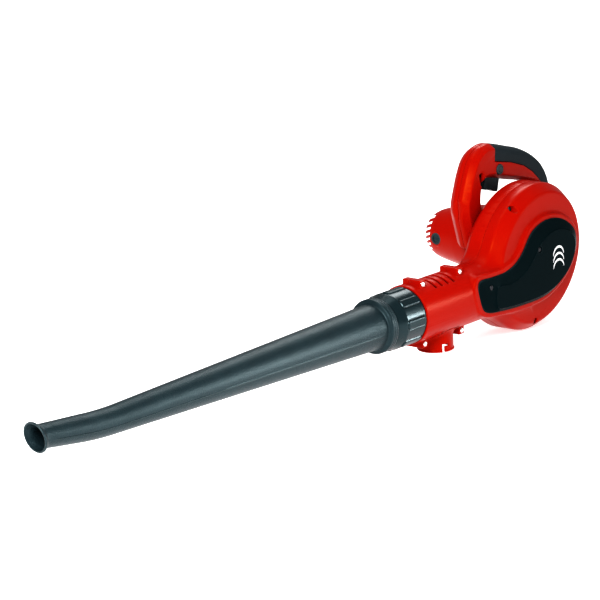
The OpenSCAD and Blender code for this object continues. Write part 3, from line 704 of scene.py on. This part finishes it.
def swept(rings, sides, radius_at, centre_at):
    """Closed skin through rings of (distance, radius); the last ring joins the first."""
    points, faces = [], []
    for s, r in rings:
        x, z, a = centre_at(s)
        for k in range(sides):
            t = 2 * math.pi * k / sides
            rr = radius_at(s, r, t)
            u, v = rr * math.cos(t), rr * math.sin(t)
            reach = MOUTH_TILT * v * min(max((s - MOUTH_START) / MOUTH_RUN, 0.0), 1.0)
            points.append((x + v * math.sin(a) - reach * math.cos(a), u,
                           z + v * math.cos(a) + reach * math.sin(a)))
    n = len(rings)
    for i in range(n):
        for k in range(sides):
            j, m = (i + 1) % n, (k + 1) % sides
            faces.append((i * sides + k, i * sides + m, j * sides + m, j * sides + k))
    return points, faces


def tube_outer(s):
    """Outer radius of the plain tube: each of its three runs has its own taper."""
    bead_end, bend_taper, tip_taper = 14.5, 0.75, 1.95
    start_r = TUBE_TIP_R + bend_taper + tip_taper
    if s < STRAIGHT_L:
        return TUBE_ROOT_R + (start_r - TUBE_ROOT_R) * (s - bead_end) / (STRAIGHT_L - bead_end)
    if s < STRAIGHT_L + BEND_L:
        return start_r - bend_taper * (s - STRAIGHT_L) / BEND_L
    return start_r - bend_taper - tip_taper * (s - STRAIGHT_L - BEND_L) / TIP_L


def tube_rings():
    """Rings of the tube: bead ring, three runs, flared lip, then back along the bore."""
    rings = [(0, 38.6), (0.4, 39.2), (1.2, 39.5), (3.4, 39.5), (3.7, 39.1), (4.3, 39.1),
             (4.6, 39.5), (7.4, 39.5), (7.7, 39.1), (8.3, 39.1), (8.6, 39.5), (11.2, 39.5),
             (12.4, 39.1), (13.2, 38.2), (13.8, 36.6), (14.4, 34.4), (15.4, 33.3), (17, 32.9)]
    bend_end = STRAIGHT_L + BEND_L
    rings += [(s, tube_outer(s)) for s in np.linspace(20, STRAIGHT_L, 60)]
    rings += [(s, tube_outer(s)) for s in np.linspace(STRAIGHT_L, bend_end, 14)[1:]]
    rings += [(s, tube_outer(s)) for s in np.linspace(bend_end, WHOLE_L, 16)[1:]]
    flare = [(2, 0.3), (3.6, 1.0), (5, 2.3), (6, 3.4), (6.8, FLARE - 0.2), (7.6, FLARE),
             (8.7, FLARE), (9.4, FLARE - 0.5), (9.5, FLARE - 1.4), (9.1, FLARE - TUBE_WALL),
             (7, FLARE - TUBE_WALL - 0.8), (4, -0.5), (0, -TUBE_WALL)]
    rings += [(WHOLE_L + ahead, TUBE_TIP_R + out) for ahead, out in flare]
    rings += [(s, tube_outer(s) - TUBE_WALL) for s in np.linspace(WHOLE_L - 4, 44, 50)]
    rings += [(38, 32.05), (8, 32.05), (0.6, 37.4)]
    return rings


def tube_radius(s, r, t):
    """A mould's parting line stands proud along both sides."""
    if 20 < s < 620 and r > 14:
        part = min(abs(math.sin(t - PARTING_TURN)), 1)
        return r + 0.7 * math.exp(-(part / 0.022) ** 2)
    return r


points, faces = swept(tube_rings(), 144, tube_radius, tube_at)
new_piece("tube_skin", points, faces, BLACK, "tube_body", ("blower_tube",), 30)


def collar_centre(s):
    """Centre and tilt of the collar at an x of s."""
    return s, DUCT_Z, 0.0


def collar_radius(s, r, t):
    """Raised pads round the grip, with rounded ends and a shallow moat round each."""
    if r < 39.5 or not -112 <= s <= -70.3:
        return r
    sector = 2 * math.pi / PAD_COUNT
    across = abs((t - math.pi / PAD_COUNT) % sector - sector / 2) * r
    along = abs(s - PAD_MID) - PAD_HALF
    gap = math.hypot(max(along, 0), max(across - PAD_SIDE, 0)) - PAD_ROUND
    pad = 1 / (1 + math.exp(max(min(gap * 3.5, 30), -30)))
    moat = math.exp(-((gap - 0.9) / 0.7) ** 2)
    return r + PAD_RISE * pad - 0.5 * PAD_RISE * moat


collar_rings = [(-70.6, 40.2), (-70.9, 41.0), (-71.8, COLLAR_BASE)]
collar_rings += [(x, COLLAR_BASE) for x in np.linspace(-73, -111, 78)]
collar_rings += [(-112, 41.3), (-113, 41.0), (-115, 40.4), (-120, 38.8), (-126, 36.8),
                 (-129, 35.8), (-130, 35.3), (-130.4, 34.6), (-130.6, 31.4), (-165.4, 31.4),
                 (-166, 30.8), (-166, 28.8), (-165.6, 28.6), (-45, 28.6), (-44.2, 29.0),
                 (-44, 36.9), (-44.6, 37.3), (-70.2, 37.3)]
points, faces = swept(collar_rings, 384, collar_radius, collar_centre)
new_piece("collar_skin", points, faces, COLLAR_BLACK, "collar_body",
          ("tube_collar",), 35)

# ---------------------------------------------------------------- small pieces


def screw_head(name, places, radius, height, direction, mat, body):
    """Domed pan heads with a cross recess, head side along direction from each place."""
    out = Vector(direction)
    turn = Vector((0, 0, 1)).rotation_difference(out).to_matrix().to_4x4()

    def head(x, y, z):
        r = np.hypot(x, y)
        ball = radius * 1.5
        dome = np.sqrt(r * r + (z + ball - height) ** 2) - ball
        solid = blend_max(blend_max(r - radius, dome, 0.8), -z - 0.2, 0.2)
        arm_a = np.maximum(np.abs(x) - 0.5, np.abs(y) - radius * 0.5)
        arm_b = np.maximum(np.abs(y) - 0.5, np.abs(x) - radius * 0.5)
        deep = height * 0.45 - z + 0.5 * r
        return cut(solid, np.maximum(np.minimum(arm_a, arm_b), deep), 0.25)

    points, quads = surface(head, (-radius, -radius, -0.4), (radius, radius, height), 0.28)
    all_points, all_faces = [], []
    for place in places:
        spot = Matrix.Translation(place) @ turn
        base = len(all_points)
        all_points += [tuple(spot @ Vector(p)) for p in points]
        all_faces += (quads + base).tolist()
    return new_piece(name, all_points, all_faces, mat, body)


duct_places = [(bx, DUCT_BOSS_NEAR, DUCT_Z + side * DUCT_BOSS_RISE)
               for bx in DUCT_BOSS_X for side in (-1, 1)]
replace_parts(screw_head("duct_screw_heads", duct_places, 4.0, 2.5, (0, -1, 0), ZINC, "housing"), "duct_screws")
rim_places = []
for angle, inset, bottom in RIM_SCREWS:
    cx, cz = rim_screw_place(angle, inset)
    rim_places.append((cx, bottom, cz))
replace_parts(screw_head("rim_screw_heads", rim_places, 3.8, 2.3, (0, -1, 0), BLACK_OXIDE,
                       "housing"), "housing_screws")
cover_places = [(cx, COVER_SCREW_Y, cz) for cx, cz in COVER_SCREWS]
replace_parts(screw_head("cover_screw_heads", cover_places, 3.6, 1.9, (0, -1, 0), BLACK_OXIDE,
                       "housing"), "cover_screws")


def trigger_field(x, y, z):
    """Blade with a hollow for the finger, a flange that keeps it in, and its spring's seat."""
    u, v, w = grip_frame(x, y, z)
    blade = blend_max(slab(u, -14.5, 22.5), np.abs(v) - 7, 2.0)
    blade = blend_max(blade, slab(w, -19, 8.5), 2.5)
    finger = np.hypot(u - 4, w + 44) - 26.5
    blade = cut(blade, finger, 1.0)
    flange = np.maximum(np.maximum(slab(u, -16.9, 24.5), np.abs(v) - 8.6), slab(w, 7.6, 10))
    spring_seat = np.maximum(np.hypot(u, v) - 3.4, 4.6 - w)
    return cut(np.minimum(blade, flange), spring_seat, 0.2)


moulded("trigger_blade", trigger_field, (188, 44, 184), (240, 64, 228), 0.8, BLACK,
        "trigger_body", ("trigger",), keep=0.4)


def lock_field(x, y, z):
    """Round button with a ring groove and its spring's seat."""
    r = np.hypot(x - LOCK_X, z - LOCK_Z)
    top = 33.0 + 0.02 * r * r
    body = blend_max(r - 8.0, np.maximum(top - y, y - 42), 1.2)
    groove = np.maximum(np.abs(r - 5.0) - 0.6, y - 34.4)
    spring_seat = np.maximum(r - 5.8, 38.5 - y)
    return cut(cut(body, groove, 0.3), spring_seat, 0.2)


moulded("lock_cap", lock_field, (209.5, 32.5, 215.5), (226.5, 42.5, 232.5), 0.5, LOCK_GREY,
        "lock_body", ("lock_button",), keep=0.5)

# ---------------------------------------------------------------- room, lights and camera


def floor(z):
    """Pale floor that glows a little, so that the backdrop stays white."""
    mesh = bpy.data.meshes.new("floor")
    tool = bmesh.new()
    bmesh.ops.create_grid(tool, x_segments=1, y_segments=1, size=14)
    tool.to_mesh(mesh)
    tool.free()
    obj = bpy.data.objects.new("floor", mesh)
    obj.location = (0, 0, z)
    bpy.context.scene.collection.objects.link(obj)
    pale = material("pale_floor", (0.9, 0.9, 0.9), 0.7, mottle=0.01)
    glow = pale.node_tree.nodes["Principled BSDF"].inputs
    glow["Emission Color"].default_value = (1, 1, 1, 1)
    glow["Emission Strength"].default_value = 0.5
    mesh.materials.append(pale)


def hang_light(data, place, target):
    """Puts a light at a place, in metres, and turns it to its target."""
    obj = bpy.data.objects.new(data.name, data)
    obj.location = place
    obj.rotation_mode = "QUATERNION"
    obj.rotation_quaternion = (Vector(target) - Vector(place)).to_track_quat("-Z", "Y")
    bpy.context.scene.collection.objects.link(obj)


def area_light(name, place, target, size, power):
    """Round soft box: size in metres, power in watts."""
    data = bpy.data.lights.new(name, "AREA")
    data.shape = "DISK"
    data.size = size
    data.energy = power
    hang_light(data, place, target)


def spot_light(name, place, target, power, spread, radius):
    """Soft spot, narrow enough to light one part of the object only: spread in degrees."""
    data = bpy.data.lights.new(name, "SPOT")
    data.energy = power
    data.shadow_soft_size = radius
    data.spot_size = math.radians(spread)
    data.spot_blend = 0.5
    hang_light(data, place, target)


floor(CAD_BOX[0][2] - 0.001)
area_light("key", (-2.2, -0.95, 1.5), (0.15, 0, 0.12), 0.8, 72)
area_light("back", (1.1, 0.7, 1.35), (-0.4, 0, 0.06), 0.8, 9)
area_light("top", (0.0, 0.3, 2.2), (0.1, 0, 0.1), 1.4, 12)
area_light("side", (1.04, -1.3, 0.45), (-0.4, 0, 0.06), 0.8, 3)
spot_light("tube", (1.04, -1.3, 0.2), (-0.45, 0, 0.03), 90, 18, 0.22)
spot_light("bevel", (-0.6, -1.5, 1.25), (0.13, 0, 0.14), 24, 9, 0.12)
world = bpy.data.worlds.new("studio")
bpy.context.scene.world = world
world.use_nodes = True
backdrop = world.node_tree.nodes["Background"].inputs
backdrop["Color"].default_value = (1, 1, 1, 1)
backdrop["Strength"].default_value = 0.3

# Camera: where it stands round its aim, and how much its picture spans there, in metres
AZIMUTH, ELEVATION, ROLL = math.radians(-48), math.radians(14.2), math.radians(3)
AIM, DISTANCE, PICTURE_SPAN = Vector((-0.290, 0.0, 0.1376)), 2.8, 0.8053691
back = Vector((math.sin(AZIMUTH) * math.cos(ELEVATION), -math.cos(AZIMUTH) * math.cos(ELEVATION),
               math.sin(ELEVATION)))
right = Vector((math.cos(AZIMUTH), math.sin(AZIMUTH), 0))
up = back.cross(right)
right_r = right * math.cos(ROLL) - up * math.sin(ROLL)
up_r = right * math.sin(ROLL) + up * math.cos(ROLL)
lens = bpy.data.cameras.new("camera")
lens.sensor_width = 36
lens.lens = lens.sensor_width * DISTANCE / PICTURE_SPAN
camera = bpy.data.objects.new("camera", lens)
turn = Matrix((right_r, up_r, back)).transposed().to_4x4()
camera.matrix_world = Matrix.Translation(AIM + back * DISTANCE) @ turn
bpy.context.scene.collection.objects.link(camera)
bpy.context.scene.camera = camera
bpy.context.scene.view_settings.view_transform = "Standard"
bpy.context.scene.view_settings.look = "High Contrast"
